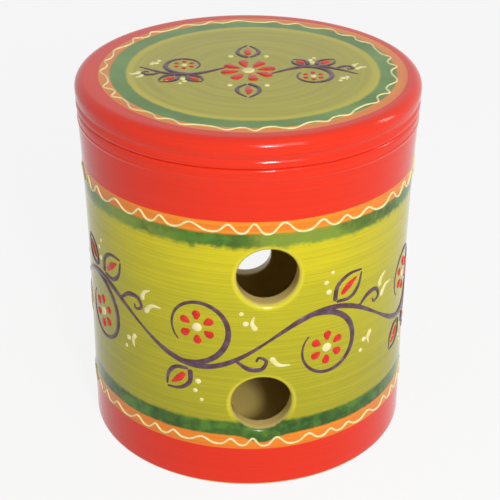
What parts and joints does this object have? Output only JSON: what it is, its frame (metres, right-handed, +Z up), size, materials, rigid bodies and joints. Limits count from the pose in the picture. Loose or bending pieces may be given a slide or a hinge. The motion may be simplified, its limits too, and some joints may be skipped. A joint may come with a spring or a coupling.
{
  "type": "garlic keeper",
  "caption": "Lidded earthenware garlic keeper: upright round jar with vent holes front and back, a flat lift-off lid and raised wavy slip lines.",
  "frame": {"origin": "centre of the foot, on the surface the jar stands on", "axes": "+Z up along the jar's axis, -Y towards the front vent holes, +X to the right seen from the front"},
  "size_m": [0.124, 0.124, 0.1395],
  "materials": {
    "painted_glaze": "gloss glaze over hand-painted colour bands",
    "cream_slip": "raised cream slip under gloss glaze"
  },
  "bodies": {
    "jar": {"jar": "painted_glaze", "rim_slip_wave": "cream_slip", "foot_slip_wave": "cream_slip"},
    "lid": {"lid": "painted_glaze", "lid_slip_wave": "cream_slip"}
  },
  "joints": [
    {"name": "lid_lift", "type": "slide", "parent": "jar", "child": "lid", "axis": [0, 0, 1], "range_m": [0, 0.06]}
  ]
}
